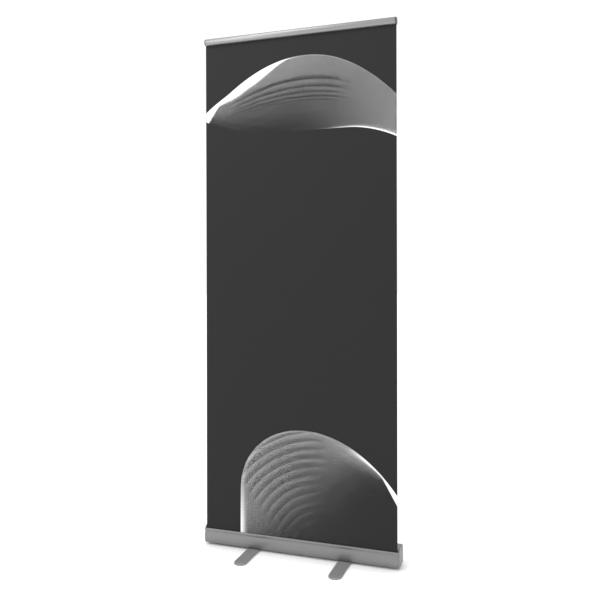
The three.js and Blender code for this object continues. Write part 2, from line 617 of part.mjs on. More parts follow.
housing();
endCap('end_cap_left', -1);
endCap('end_cap_right', 1);
roller();
foot('foot_left', -1);
foot('foot_right', 1);
pole();
rail();
film();

export default group;
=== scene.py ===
import math

import bmesh
import bpy
from mathutils import Matrix, Vector


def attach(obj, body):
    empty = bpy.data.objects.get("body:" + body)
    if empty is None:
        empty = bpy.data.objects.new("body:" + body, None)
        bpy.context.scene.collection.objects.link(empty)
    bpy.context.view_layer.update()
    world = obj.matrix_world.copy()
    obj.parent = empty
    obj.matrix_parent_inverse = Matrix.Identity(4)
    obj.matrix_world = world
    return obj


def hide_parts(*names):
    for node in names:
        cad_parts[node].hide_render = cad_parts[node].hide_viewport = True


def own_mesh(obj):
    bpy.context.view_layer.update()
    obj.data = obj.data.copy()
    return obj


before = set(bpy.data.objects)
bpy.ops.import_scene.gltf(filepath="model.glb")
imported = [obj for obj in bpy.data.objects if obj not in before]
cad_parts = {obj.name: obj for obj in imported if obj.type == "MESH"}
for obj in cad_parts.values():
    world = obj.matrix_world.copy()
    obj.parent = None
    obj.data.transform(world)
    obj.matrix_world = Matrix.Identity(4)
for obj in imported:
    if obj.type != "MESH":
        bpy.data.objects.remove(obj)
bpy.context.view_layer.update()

# A roll-up banner stand. Shapes are drawn in millimetres in the model's own frame, +Z up, graphic facing -Y.
MM = 0.001

# Heights and places of the printed film
GRAPHIC_HALF = 400
FILM_FRONT = -34.25
FILM_BACK = -33.75
FILM_FOOT = 38
FILM_CURL = 1.6

# Housing: sections are (y, z)
LIP = (-37, 70.5)
SLOT_REAR = (-29.5, 78)
HOUSING_HALF = 403
HOUSING_BOTTOM = 8.5
HOUSING_TOP = 82.5
HOUSING_WALL = 2
CAP_START = 403.3
CAP_END = 409.3
CAP_MIDDLE = (0, 46)
MIDDLE_Z = 45
ROLLER = (-15.5, 38)
BEARING_RADIUS = 8.5
PIN_HOLE_RADIUS = 4.3
SCREW_PORTS = ((-30, 15), (31.6, 15), (28, 74))
PORT_RADIUS = 5
SCREW_RADIUS = 1.6
SCREW_HOLE_RADIUS = 2
SCREW_HEAD_RADIUS = 3.4
SCREW_LENGTH = 15
HEAD_RECESS = 2.6

# Feet
FOOT_X = 191
FOOT_HALF_WIDTH = 26
FOOT_END = 188
BAR_END = 156
BAR_BOTTOM = 0.8
BAR_TOP = 6.6
BAR_WALL = 1.2
RIVET_HOLE_RADIUS = 4.3
RIVET_ACCESS_RADIUS = 8.5
PAD_RADIUS = 10
PAD_CENTRE = (0, -170)
NOTCHES = (232.5, 255, 285, 307.5)
NOTCH_DEPTH = 1.3
NOTCH_HALF_ANGLE = 5

# Pole: three tubes as (name, outer radius, inner radius)
POLE_Y = 8
TUBES = (("lower", 8, 7.2), ("middle", 6.8, 6.1), ("upper", 5.7, 5))
POLE_BOTTOM = 62.8
SECTION = 718
STEP = 648
SLEEVE_BELOW_TOP = 7.5
SLEEVE_HEIGHT = 30
NUT_HEIGHT = 27
NUT_WALL = 4
NUT_RIBS = 14
SOCKET_RADIUS = 10
SOCKET_FLANGE_RADIUS = 13.5
SOCKET_FLOOR = (59.4, 61.3)

# Rail: heights other than its own bottom are above that lower edge
RAIL_BOTTOM = 2070.5
RAIL_HEIGHT = 27
RAIL_HALF = 396
RAIL_WALL = 1.8
JAW_WALL = 1.4
HINGE = (-36.5, 24)
HINGE_BEAD_RADIUS = 1.2
NECK_HALF = 0.45
CLAW_INNER = 1.6
CLAW_OUTER = 3
WEB_FRONT = -33.4
WEB_REAR = -31.6
RAIL_REAR = -23
RAIL_MIDDLE = (-35.5, 13.5)
HOOK_SLOT_HALF = 14
HOOK_HALF = 12
HOOK_TOP = 16.2
HOOK_THICKNESS = 3.7
HEAD_RADIUS = 9.4
HEAD_SKIRT = 30
FILM_TOP = RAIL_BOTTOM + 15

# Artwork, in millimetres on the film: (x, z)
UPPER_PEAK_X = 40.0
UPPER_FOOT_Z = 1695.0
UPPER_LINE_COUNT = 110.0
LOWER_FOCUS = (425.0, 245.0)
LOWER_REACH = 672.0
LOWER_SPREAD = 57.6
LOWER_LINE_COUNT = 240.0
LOWER_GROOVE_CENTRE = (105.0, 25.0)
LOWER_GROOVE_PITCH = 34.0

# Sides of a turned piece, and the angle in degrees past which an edge is shaded sharp
ROUND = 96
SHARP_EDGE = 32


# Outlines: lists of flat (u, v) points

def curve(start, control, end, steps):
    points = []
    for i in range(1, steps + 1):
        t = i / steps
        points.append(tuple((1 - t) ** 2 * a + 2 * t * (1 - t) * c + t * t * b
                            for a, c, b in zip(start, control, end)))
    return points


def arc(centre, radius, start, end, steps):
    points = []
    for i in range(steps + 1):
        angle = math.radians(start + (end - start) * i / steps)
        points.append((centre[0] + radius * math.cos(angle), centre[1] + radius * math.sin(angle)))
    return points


def offset(points, distance, closed=True):
    """Moves each point to the left of the direction of travel."""
    moved = []
    count = len(points)
    for i, (u, v) in enumerate(points):
        before = points[i - 1] if closed or i else points[i]
        after = points[(i + 1) % count] if closed or i + 1 < count else points[i]
        normals = []
        for a, b in ((before, (u, v)), ((u, v), after)):
            length = math.hypot(b[0] - a[0], b[1] - a[1])
            if length > 1e-6:
                normals.append((-(b[1] - a[1]) / length, (b[0] - a[0]) / length))
        sum_u = sum(n[0] for n in normals)
        sum_v = sum(n[1] for n in normals)
        scale = distance * len(normals) / max(sum_u ** 2 + sum_v ** 2, 0.5)
        moved.append((u + sum_u * scale, v + sum_v * scale))
    return moved


def soften(points, radius, closed=True, steps=4):
    """Rounds an outline's corners, by no more than the sides next to each allow."""
    made = []
    count = len(points)
    for i, point in enumerate(points):
        if not closed and i in (0, count - 1):
            made.append(point)
            continue
        before, after = Vector(points[i - 1]), Vector(points[(i + 1) % count])
        here = Vector(point)
        back, on = before - here, after - here
        reach = min(radius, 0.45 * back.length, 0.45 * on.length)
        start = here + back.normalized() * reach
        end = here + on.normalized() * reach
        made.append(tuple(start))
        made.extend(curve(start, here, end, steps))
    return made


def wall(path, thickness):
    """A wall of even thickness along a path, with rounded ends."""
    inner = offset(path, thickness, closed=False)
    ends = []
    for a, b in ((path[-1], inner[-1]), (inner[0], path[0])):
        centre = ((a[0] + b[0]) / 2, (a[1] + b[1]) / 2)
        start = math.degrees(math.atan2(a[1] - centre[1], a[0] - centre[0]))
        radius = math.hypot(a[0] - centre[0], a[1] - centre[1])
        ends.append(arc(centre, radius, start, start + 180, 6)[1:-1])
    return path + ends[0] + inner[::-1] + ends[1]


def rectangle(u0, u1, v0, v1, radius=0.6):
    return soften([(u0, v0), (u1, v0), (u1, v1), (u0, v1)], radius)


# Solids

def to_object(name, mesh_builder, sharp=SHARP_EDGE):
    bmesh.ops.recalc_face_normals(mesh_builder, faces=mesh_builder.faces)
    mesh = bpy.data.meshes.new(name)
    mesh_builder.to_mesh(mesh)
    mesh_builder.free()
    mesh.polygons.foreach_set("use_smooth", [True] * len(mesh.polygons))
    mesh.set_sharp_from_angle(angle=math.radians(sharp))
    made = bpy.data.objects.new(name, mesh)
    bpy.context.scene.collection.objects.link(made)
    return made


def loft(name, rings, closed=False, sharp=SHARP_EDGE):
    """A solid through rings of equal point counts, closed by end faces or back onto its first ring."""
    builder = bmesh.new()
    rows = [[builder.verts.new([c * MM for c in point]) for point in ring] for ring in rings]
    pairs = list(zip(rows, rows[1:] + rows[:1])) if closed else list(zip(rows, rows[1:]))
    for low, high in pairs:
        for i, vert in enumerate(low):
            after = (i + 1) % len(low)
            builder.faces.new((vert, low[after], high[after], high[i]))
    if not closed:
        builder.faces.new(rows[0][::-1])
        builder.faces.new(rows[-1])
    return to_object(name, builder, sharp)


PLACES = {
    "X": lambda u, v, along: (along, u, v),
    "Y": lambda u, v, along: (u, along, v),
    "Z": lambda u, v, along: (u, v, along),
}


def extrude(name, outline, axis, start, end, edge=0.4):
    """An outline drawn out along an axis, its end edges rounded."""
    place = PLACES[axis]
    rings = []
    for at, inset in ((start, edge), (start + 0.3 * edge, 0.3 * edge), (start + edge, 0),
                      (end - edge, 0), (end - 0.3 * edge, 0.3 * edge), (end, edge)):
        ring = offset(outline, inset) if inset else outline
        rings.append([place(u, v, at) for u, v in ring])
    return loft(name, rings)


def pipe(name, outline, wall_thickness, axis, start, end):
    """A hollow bar: the outline and its inner copy, joined at both ends."""
    place = PLACES[axis]
    inner = offset(outline, wall_thickness)
    edge = 0.25
    rings = [[place(u, v, at) for u, v in ring] for ring, at in (
        (offset(outline, edge), start), (outline, start + edge), (outline, end - edge),
        (offset(outline, edge), end), (inner, end), (inner, start))]
    return loft(name, rings, closed=True)


def turned(name, profile, axis, centre, segments=ROUND):
    """A (radius, distance along the axis) profile turned round an axis through a centre."""
    builder = bmesh.new()
    place = PLACES[axis]
    rows = []
    for radius, along in profile:
        row = []
        for i in range(segments if radius > 1e-6 else 1):
            turn = 2 * math.pi * i / segments
            point = place(centre[0] + radius * math.cos(turn), centre[1] + radius * math.sin(turn), along)
            row.append(builder.verts.new([c * MM for c in point]))
        rows.append(row)
    on_axis = len(rows[0]) == 1
    for low, high in zip(rows, rows[1:] if on_axis else rows[1:] + rows[:1]):
        for i in range(segments):
            corners = [low[i % len(low)], low[(i + 1) % len(low)],
                       high[(i + 1) % len(high)], high[i % len(high)]]
            builder.faces.new(list(dict.fromkeys(corners)))
    return to_object(name, builder)


def combine(piece, others, operation):
    """Joins others to a piece, or cuts them from it."""
    for other in others:
        step = piece.modifiers.new("combine", "BOOLEAN")
        step.operation = operation
        step.solver = "MANIFOLD"
        step.object = other
    bpy.context.view_layer.update()
    evaluated = piece.evaluated_get(bpy.context.evaluated_depsgraph_get())
    mesh = bpy.data.meshes.new_from_object(evaluated)
    piece.modifiers.clear()
    piece.data = mesh
    for other in others:
        bpy.data.objects.remove(other)
    mesh.polygons.foreach_set("use_smooth", [True] * len(mesh.polygons))
    mesh.set_sharp_from_angle(angle=math.radians(SHARP_EDGE))
    return piece


def join_to(piece, *others):
    return combine(piece, others, "UNION")


def cut_from(piece, *others):
    return combine(piece, others, "DIFFERENCE")


def rod(radius, axis, centre, start, end, segments=48):
    return turned("tool", [(0, start), (radius, start), (radius, end), (0, end)], axis, centre, segments)


def block(x0, x1, y0, y1, z0, z1, radius=0.6, edge=0.5):
    return extrude("tool", rectangle(x0, x1, y0, y1, radius), "Z", z0, z1, edge)


def mirrored(points):
    """The same profile for the other end of the stand."""
    return [(u, -v) for u, v in points]


def settle(piece, body, material, replaced):
    """Gives a piece its material and its body, and hides the model's node that it stands in for."""
    piece.data.materials.clear()
    piece.data.materials.append(material)
    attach(piece, body)
    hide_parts(replaced)


# Materials

def linear(hex_colour):
    """An sRGB hex colour as linear RGBA."""
    channels = [int(hex_colour[i:i + 2], 16) / 255 for i in (1, 3, 5)]
    return [c / 12.92 if c <= 0.04045 else ((c + 0.055) / 1.055) ** 2.4 for c in channels] + [1]


def node(tree, kind, inputs=None, **settings):
    """Adds a node with its settings, and its inputs as numbers or links from other nodes."""
    made = tree.nodes.new("ShaderNode" + kind)
    for name, value in settings.items():
        setattr(made, name, value)
    for key, value in (inputs or {}).items():
        if isinstance(value, bpy.types.Node):
            value = value.outputs[0]
        if isinstance(value, bpy.types.NodeSocket):
            tree.links.new(value, made.inputs[key])
        else:
            made.inputs[key].default_value = value
    return made


def calculate(tree, value, steps):
    """Adds the nodes of a calculation: each step is its name, kind, setting and inputs, by name or number."""
    for name, kind, setting, *terms in steps:
        key = "interpolation_type" if kind == "MapRange" else "operation"
        inputs = {i: value.get(term, term) for i, term in enumerate(terms)}
        value[name] = node(tree, kind, inputs, **{key: setting})
    return value


def make_material(name, recipe, *details):
    """A material whose recipe is given the tree and the place in metres, and returns the shader's inputs."""
    material = bpy.data.materials.new(name)
    material.use_nodes = True
    tree = material.node_tree
    tree.nodes.clear()
    place = node(tree, "TexCoord").outputs["Object"]
    shader = node(tree, "BsdfPrincipled", recipe(tree, place, *details))
    node(tree, "OutputMaterial", {"Surface": shader})
    return material


def per_mm(*sizes):
    """The pattern scale that makes features about as large as the sizes, in millimetres."""
    scales = [1 / (size * MM) for size in sizes]
    return scales if len(scales) > 1 else scales[0]


# Sockets of a Mix node set to colours, and the values between which a noise texture mostly lies
MIX_A = 6
MIX_B = 7
MIX_COLOUR = 2
NOISE = {"From Min": 0.3, "From Max": 0.7}


def anodised_aluminium(tree, place, sizes, dark, light, smoothest):
    """Extruded aluminium, etched and clear anodised: satin metal with faint die lines along its length."""
    stretched = node(tree, "VectorMath", {0: place, 1: per_mm(*sizes)}, operation="MULTIPLY")
    lines = node(tree, "TexNoise", {"Vector": stretched, "Scale": 1.0, "Detail": 3.0})
    etch = node(tree, "TexNoise", {"Vector": place, "Scale": per_mm(0.5), "Detail": 2.0})
    height = node(tree, "Math", {0: lines, 1: 0.5, 2: etch}, operation="MULTIPLY_ADD")
    colour = node(tree, "Mix", {"Factor": lines, MIX_A: linear(dark), MIX_B: linear(light)}, data_type="RGBA")
    rough = node(tree, "MapRange", {"Value": lines, **NOISE, "To Min": smoothest, "To Max": smoothest + 0.08})
    bump = node(tree, "Bump", {"Height": height, "Distance": 0.01 * MM, "Strength": 0.3})
    return {"Base Color": colour.outputs[MIX_COLOUR], "Metallic": 0.7, "Roughness": rough, "Normal": bump}


def powder_coat(tree, place, dark, light):
    """Silver powder coat baked on aluminium: flakes in a clear coat over a fine orange-peel skin."""
    peel = node(tree, "TexNoise", {"Vector": place, "Scale": per_mm(1.6), "Detail": 1.0})
    flakes = node(tree, "TexVoronoi", {"Vector": place, "Scale": per_mm(0.5)})
    lightness = node(tree, "SeparateColor", {"Color": flakes.outputs["Color"]})
    colour = node(tree, "Mix", {"Factor": lightness, MIX_A: linear(dark), MIX_B: linear(light)},
                  data_type="RGBA")
    rough = node(tree, "MapRange", {"Value": peel, **NOISE, "To Min": 0.48, "To Max": 0.58})
    bump = node(tree, "Bump", {"Height": peel, "Distance": 0.03 * MM, "Strength": 0.4})
    return {"Base Color": colour.outputs[MIX_COLOUR], "Metallic": 0.15, "Roughness": rough, "Normal": bump}


def moulded_plastic(tree, place, dark, light, texture_mm):
    """Injection-moulded ABS or nylon, spark-eroded tool: even colour under a fine pebbled skin."""
    pebbles = node(tree, "TexNoise", {"Vector": place, "Scale": per_mm(texture_mm), "Detail": 2.0})
    drift = node(tree, "TexNoise", {"Vector": place, "Scale": per_mm(40), "Detail": 2.0})
    colour = node(tree, "Mix", {"Factor": drift, MIX_A: linear(dark), MIX_B: linear(light)}, data_type="RGBA")
    rough = node(tree, "MapRange", {"Value": pebbles, **NOISE, "To Min": 0.4, "To Max": 0.55})
    bump = node(tree, "Bump", {"Height": pebbles, "Distance": 0.03 * MM, "Strength": 0.5})
    return {"Base Color": colour.outputs[MIX_COLOUR], "Roughness": rough, "Normal": bump}


def zinc_plated_steel(tree, place, dark, light):
    """Bright zinc on cold-headed or drawn steel: a pale metal with fine drawing marks."""
    stretched = node(tree, "VectorMath", {0: place, 1: per_mm(1.5, 0.2, 0.2)}, operation="MULTIPLY")
    marks = node(tree, "TexNoise", {"Vector": stretched, "Scale": 1.0, "Detail": 2.0})
    colour = node(tree, "Mix", {"Factor": marks, MIX_A: linear(dark), MIX_B: linear(light)}, data_type="RGBA")
    rough = node(tree, "MapRange", {"Value": marks, **NOISE, "To Min": 0.22, "To Max": 0.38})
    bump = node(tree, "Bump", {"Height": marks, "Distance": 0.01 * MM, "Strength": 0.3})
    return {"Base Color": colour.outputs[MIX_COLOUR], "Metallic": 1.0, "Roughness": rough, "Normal": bump}


def moulded_rubber(tree, place, dark, light):
    """Black synthetic rubber: matte, with dust in its skin."""
    dust = node(tree, "TexNoise", {"Vector": place, "Scale": per_mm(1.2), "Detail": 2.0})
    colour = node(tree, "Mix", {"Factor": dust, MIX_A: linear(dark), MIX_B: linear(light)}, data_type="RGBA")
    rough = node(tree, "MapRange", {"Value": dust, **NOISE, "To Min": 0.75, "To Max": 0.9})
    bump = node(tree, "Bump", {"Height": dust, "Distance": 0.05 * MM, "Strength": 0.5})
    return {"Base Color": colour.outputs[MIX_COLOUR], "Roughness": rough, "Normal": bump}


def upper_lines(tree, x, z):
    """Ink of the upper artwork, 0 bare to 1 solid: fine lines drawn between a flat foot and a dome.

    The lines meet in a wedge at the left edge and spread to the right edge; their pens swell along the dome's
    left shoulder and along the foot's right half, and thin to nothing towards the lower left.
    """
    value = calculate(tree, {"x": x, "z": z}, [
        ("from_peak", "Math", "SUBTRACT", "x", UPPER_PEAK_X),
        ("before_peak", "Math", "MINIMUM", "from_peak", 0.0),
        ("before_peak", "Math", "MULTIPLY", "before_peak", "before_peak"),
        ("past_peak", "Math", "MAXIMUM", "from_peak", 0.0),
        ("past_peak", "Math", "MULTIPLY", "past_peak", "past_peak"),
        ("peak", "MapRange", "SMOOTHSTEP", "x", -280.0, -420.0, 1992.0, 2014.0),
        ("dome", "Math", "MULTIPLY_ADD", "before_peak", -0.00115, "peak"),
        ("dome", "Math", "MULTIPLY_ADD", "past_peak", -0.00143, "dome"),
        ("left_of", "Math", "SUBTRACT", -200.0, "x"),
        ("left_of", "Math", "MAXIMUM", "left_of", 0.0),
        ("left_rise", "Math", "MULTIPLY", "left_of", "left_of"),
        ("right_of", "Math", "SUBTRACT", "x", 200.0),
        ("right_of", "Math", "MAXIMUM", "right_of", 0.0),
        ("right_drop", "Math", "MULTIPLY", "right_of", "right_of"),
        ("foot", "Math", "MULTIPLY_ADD", "left_rise", 0.00155, UPPER_FOOT_Z),
        ("foot", "Math", "MULTIPLY_ADD", "right_drop", -0.00118, "foot"),
        ("height", "Math", "SUBTRACT", "dome", "foot"),
        ("above", "Math", "SUBTRACT", "z", "foot"),
        ("level", "Math", "DIVIDE", "above", "height"),
        ("below_rim", "Math", "SUBTRACT", "dome", "z"),
        # Even tone: dark at the lower left, mid grey over the right
        ("depth", "MapRange", "SMOOTHSTEP", "level", -0.05, 1.1, 0.0, 0.19),
        ("rightness", "MapRange", "SMOOTHSTEP", "x", -60.0, 420.0, 0.0, 1.0),
        ("even", "MapRange", "LINEAR", "x", 0.0, 400.0, 0.08, 0.17),
        ("gap", "Math", "SUBTRACT", "even", "depth"),
        ("tone", "Math", "MULTIPLY_ADD", "gap", "rightness", "depth"),
        # Grooves over the dome's left and middle, closer together towards the foot
        ("beat", "Math", "DIVIDE", 3.7, "level"),
        ("beat", "Math", "ADD", "beat", 0.5),
        ("beat", "Math", "FRACT", "beat", 0.0),
        ("groove", "MapRange", "SMOOTHSTEP", "beat", 0.35, 0.85, 0.0, 0.7),
        ("groove_low", "MapRange", "SMOOTHSTEP", "level", 0.3, 0.42, 0.0, 1.0),
        ("groove_high", "MapRange", "SMOOTHSTEP", "level", 0.76, 0.7, 0.0, 1.0),
        ("groove_left", "MapRange", "SMOOTHSTEP", "x", -340.0, -230.0, 0.0, 1.0),
        ("groove_right", "MapRange", "SMOOTHSTEP", "x", 260.0, 130.0, 0.0, 1.0),
        ("groove", "Math", "MULTIPLY", "groove", "groove_low"),
        ("groove", "Math", "MULTIPLY", "groove", "groove_high"),
        ("groove", "Math", "MULTIPLY", "groove", "groove_left"),
        ("groove", "Math", "MULTIPLY", "groove", "groove_right"),
        ("kept", "Math", "SUBTRACT", 1.0, "groove"),
        ("tone", "Math", "MULTIPLY", "tone", "kept"),
        # The white band under the rim's left shoulder, widening into the wedge
        ("band", "MapRange", "SMOOTHSTEP", "x", -20.0, -190.0, 0.0, 30.0),
        ("band_neck", "MapRange", "SMOOTHSTEP", "x", -240.0, -350.0, 0.0, 19.0),
        ("band_wedge", "MapRange", "LINEAR", "x", -340.0, -400.0, 0.0, 33.0),
        ("band", "Math", "SUBTRACT", "band", "band_neck"),
        ("band", "Math", "ADD", "band", "band_wedge"),
        ("band_end", "Math", "MULTIPLY_ADD", "band", 1.5, 6.0),
        ("white", "MapRange", "SMOOTHSTEP", "below_rim", "band_end", "band", 0.0, 1.0),
        ("white_x", "MapRange", "SMOOTHSTEP", "x", 40.0, -120.0, 0.0, 0.98),
        ("white", "Math", "MULTIPLY", "white", "white_x"),
        ("tone", "Math", "ADD", "tone", "white"),
        # A thin light line along the whole rim, and a white one along the foot's right half
        ("rim", "MapRange", "SMOOTHSTEP", "below_rim", 7.0, 2.0, 0.0, 0.1),
        ("tone", "Math", "ADD", "tone", "rim"),
        ("foot_width", "MapRange", "SMOOTHSTEP", "x", 100.0, 420.0, 2.0, 11.0),
        ("foot_soft", "Math", "MULTIPLY_ADD", "foot_width", 2.2, 6.0),
        ("foot_line", "MapRange", "SMOOTHSTEP", "above", "foot_width", 1.0, 0.0, 0.9),
        ("foot_glow", "MapRange", "SMOOTHSTEP", "above", "foot_soft", 0.0, 0.0, 0.12),
        ("foot_line", "Math", "ADD", "foot_line", "foot_glow"),
        ("foot_x", "MapRange", "SMOOTHSTEP", "x", 90.0, 270.0, 0.0, 1.0),
        ("foot_line", "Math", "MULTIPLY", "foot_line", "foot_x"),
        ("tone", "Math", "ADD", "tone", "foot_line"),
        # The tone as the width of fine lines
        ("count", "Math", "MULTIPLY", "level", UPPER_LINE_COUNT),
        ("across", "Math", "FRACT", "count", 0.0),
        ("drawn", "Math", "LESS_THAN", "across", "tone"),
        ("over", "Math", "GREATER_THAN", "level", 0.0),
        ("under", "Math", "LESS_THAN", "level", 1.0),
        ("inside", "Math", "MULTIPLY", "over", "under"),
        ("ink", "Math", "MULTIPLY", "drawn", "inside"),
    ])
    return value["ink"]


def lower_lines(tree, x, z):
    """Ink of the lower artwork: copies of one round-shouldered outline, shrunk towards a focus.

    The focus lies just off the right edge, where the lines meet in a bright wedge; the pens thin to nothing
    towards the lower right.
    """
    focus_x, focus_z = LOWER_FOCUS
    groove_x, groove_z = LOWER_GROOVE_CENTRE
    value = calculate(tree, {"x": x, "z": z}, [
        ("left", "Math", "SUBTRACT", focus_x, "x"),
        ("up", "Math", "SUBTRACT", "z", focus_z),
        ("turn", "Math", "ARCTAN2", "up", "left"),
        ("turn_up", "Math", "MAXIMUM", "turn", 0.0),
        ("turn_down", "Math", "MINIMUM", "turn", 0.0),
        ("share", "Math", "DIVIDE", "turn_up", math.radians(LOWER_SPREAD)),
        ("share", "Math", "POWER", "share", 2.2),
        ("reach", "Math", "MULTIPLY_ADD", "share", -LOWER_REACH, LOWER_REACH),
        ("reach", "Math", "MAXIMUM", "reach", 1.0),
        ("left_squared", "Math", "MULTIPLY", "left", "left"),
        ("squared", "Math", "MULTIPLY_ADD", "up", "up", "left_squared"),
        ("away", "Math", "SQRT", "squared", 0.0),
        ("down_cosine", "Math", "COSINE", "turn_down", 0.0),
        ("away", "Math", "MULTIPLY", "away", "down_cosine"),
        ("level", "Math", "DIVIDE", "away", "reach"),
        # Even tone: mid grey at the rim, bare inside and towards the lower right
        ("depth", "MapRange", "LINEAR", "level", 0.1, 1.0, 0.0, 1.0),
        ("depth", "Math", "POWER", "depth", 1.2),
        ("slope", "Math", "MULTIPLY_ADD", "x", -0.6, "z"),
        ("strength", "MapRange", "SMOOTHSTEP", "slope", 50.0, 330.0, 0.02, 0.18),
        ("tone", "Math", "MULTIPLY", "depth", "strength"),
        # Round grooves over the left and middle
        ("groove_x", "Math", "SUBTRACT", "x", groove_x),
        ("groove_z", "Math", "SUBTRACT", "z", groove_z),
        ("groove_x", "Math", "MULTIPLY", "groove_x", "groove_x"),
        ("groove_r", "Math", "MULTIPLY_ADD", "groove_z", "groove_z", "groove_x"),
        ("groove_r", "Math", "SQRT", "groove_r", 0.0),
        ("beat", "Math", "DIVIDE", "groove_r", LOWER_GROOVE_PITCH),
        ("beat", "Math", "FRACT", "beat", 0.0),
        ("ridge", "MapRange", "SMOOTHSTEP", "beat", 0.2, 0.95, -0.35, 0.45),
        ("ridge_right", "MapRange", "SMOOTHSTEP", "x", 150.0, 20.0, 0.0, 1.0),
        ("slant", "Math", "MULTIPLY_ADD", "x", 1.1, "z"),
        ("ridge_foot", "MapRange", "SMOOTHSTEP", "slant", -30.0, 60.0, 0.0, 1.0),
        ("ridge", "Math", "MULTIPLY", "ridge", "ridge_right"),
        ("ridge", "Math", "MULTIPLY", "ridge", "ridge_foot"),
        ("tone", "Math", "MULTIPLY_ADD", "tone", "ridge", "tone"),
        # A light rim, brighter down the left side
        ("rim", "MapRange", "SMOOTHSTEP", "level", 0.972, 0.985, 0.0, 0.12),
        ("tone", "Math", "ADD", "tone", "rim"),
        ("side", "MapRange", "SMOOTHSTEP", "level", 0.95, 1.01, 0.0, 0.85),
        ("side_low", "MapRange", "SMOOTHSTEP", "z", 330.0, 40.0, 0.0, 1.0),
        ("side_left", "MapRange", "SMOOTHSTEP", "x", 100.0, -100.0, 0.0, 1.0),
        ("side", "Math", "MULTIPLY", "side", "side_low"),
        ("side", "Math", "MULTIPLY", "side", "side_left"),
        ("tone", "Math", "ADD", "tone", "side"),
        # The white band down to the wedge at the right
        ("band", "MapRange", "SMOOTHSTEP", "level", 0.72, 0.93, 0.0, 0.98),
        ("band_x", "MapRange", "SMOOTHSTEP", "x", 190.0, 330.0, 0.0, 1.0),
        ("band", "Math", "MULTIPLY", "band", "band_x"),
        ("glow", "MapRange", "SMOOTHSTEP", "level", 0.4, 0.9, 0.0, 0.17),
        ("glow_x", "MapRange", "SMOOTHSTEP", "x", 40.0, 330.0, 0.0, 1.0),
        ("glow_z", "MapRange", "SMOOTHSTEP", "up", -10.0, 110.0, 0.0, 1.0),
        ("glow", "Math", "MULTIPLY", "glow", "glow_x"),
        ("glow", "Math", "MULTIPLY", "glow", "glow_z"),
        ("tone", "Math", "ADD", "tone", "band"),
        ("tone", "Math", "ADD", "tone", "glow"),
        # The wedge itself, where all the lines run together
        ("wedge_foot", "Math", "MULTIPLY_ADD", "left", 1.75, -45.0),
        ("wedge", "Math", "SUBTRACT", "up", "wedge_foot"),
        ("wedge", "MapRange", "SMOOTHSTEP", "wedge", -1.0, 1.0, 0.0, 1.0),
        ("tone", "Math", "ADD", "tone", "wedge"),
        ("count", "Math", "MULTIPLY", "level", LOWER_LINE_COUNT),
        ("across", "Math", "FRACT", "count", 0.0),
        ("drawn", "Math", "LESS_THAN", "across", "tone"),
        ("under", "Math", "LESS_THAN", "level", 1.0),
        ("ink", "Math", "MULTIPLY", "drawn", "under"),
    ])
    return value["ink"]


def printed_film(tree, place):
    """PET film, solvent printed: matte charcoal ground, two sweeps of white lines 2 to 3 mm apart."""
    in_mm = node(tree, "VectorMath", {0: place, "Scale": 1 / MM}, operation="SCALE")
    parts = node(tree, "SeparateXYZ", {0: in_mm})
    x, z = parts.outputs[0], parts.outputs[2]
    ink = node(tree, "Math", {0: upper_lines(tree, x, z), 1: lower_lines(tree, x, z)}, operation="MAXIMUM")
    screen = node(tree, "TexNoise", {"Vector": place, "Scale": per_mm(0.9), "Detail": 2.0})
    ground = node(tree, "Mix", {"Factor": screen, MIX_A: linear("#242424"), MIX_B: linear("#272727")},
                  data_type="RGBA")
    colour = node(tree, "Mix", {"Factor": ink, MIX_A: ground.outputs[MIX_COLOUR], MIX_B: linear("#f6f6f6")},
                  data_type="RGBA")
    rough = node(tree, "MapRange", {"Value": screen, **NOISE, "To Min": 0.55, "To Max": 0.66})
    bump = node(tree, "Bump", {"Height": screen, "Distance": 0.01 * MM, "Strength": 0.3})
    return {"Base Color": colour.outputs[MIX_COLOUR], "Roughness": rough, "Specular IOR Level": 0.14,
            "Normal": bump}


def floor_with_painted_glow(tree, place):
    """Opal acrylic floor, matte white, with a faint painted glow standing in for light from below, left off
    in a strip under the stand so the shade there shows.
    """
    drift = node(tree, "TexNoise", {"Vector": place, "Scale": per_mm(300), "Detail": 2.0})
    parts = node(tree, "SeparateXYZ", {0: place})
    glow = calculate(tree, {"x": parts.outputs[0], "y": parts.outputs[1]}, [
        ("x", "Math", "ABSOLUTE", "x", 0.0),
        ("y", "Math", "ABSOLUTE", "y", 0.0),
        # Painted light: the floor's glow fades out within a strip around the stand, leaving its shade dark
        ("beside", "MapRange", "SMOOTHSTEP", "x", 0.4, 0.47, 0.0, 1.0),
        ("before", "MapRange", "SMOOTHSTEP", "y", 0.04, 0.11, 0.0, 1.0),
        ("clear", "Math", "MAXIMUM", "beside", "before"),
        ("strength", "Math", "MULTIPLY", "clear", 0.26),
    ])
    colour = node(tree, "Mix", {"Factor": drift, MIX_A: linear("#fbfbfb"), MIX_B: linear("#fdfdfd")},
                  data_type="RGBA")
    return {"Base Color": colour.outputs[MIX_COLOUR], "Roughness": 0.9, "Specular IOR Level": 0.1,
            "Emission Color": (1, 1, 1, 1), "Emission Strength": glow["strength"]}


def film_backing(tree, place):
    """The film's blockout coat: silver-grey, dead matte, with faint roller streaks down its length."""
    stretched = node(tree, "VectorMath", {0: place, 1: per_mm(25, 25, 600)}, operation="MULTIPLY")
    streaks = node(tree, "TexNoise", {"Vector": stretched, "Scale": 1.0, "Detail": 2.0})
    skin = node(tree, "TexNoise", {"Vector": place, "Scale": per_mm(0.8), "Detail": 2.0})
    colour = node(tree, "Mix", {"Factor": streaks, MIX_A: linear("#8f9091"), MIX_B: linear("#9b9c9d")},
                  data_type="RGBA")
    rough = node(tree, "MapRange", {"Value": skin, **NOISE, "To Min": 0.6, "To Max": 0.72})
    bump = node(tree, "Bump", {"Height": skin, "Distance": 0.01 * MM, "Strength": 0.3})
    return {"Base Color": colour.outputs[MIX_COLOUR], "Roughness": rough, "Normal": bump}


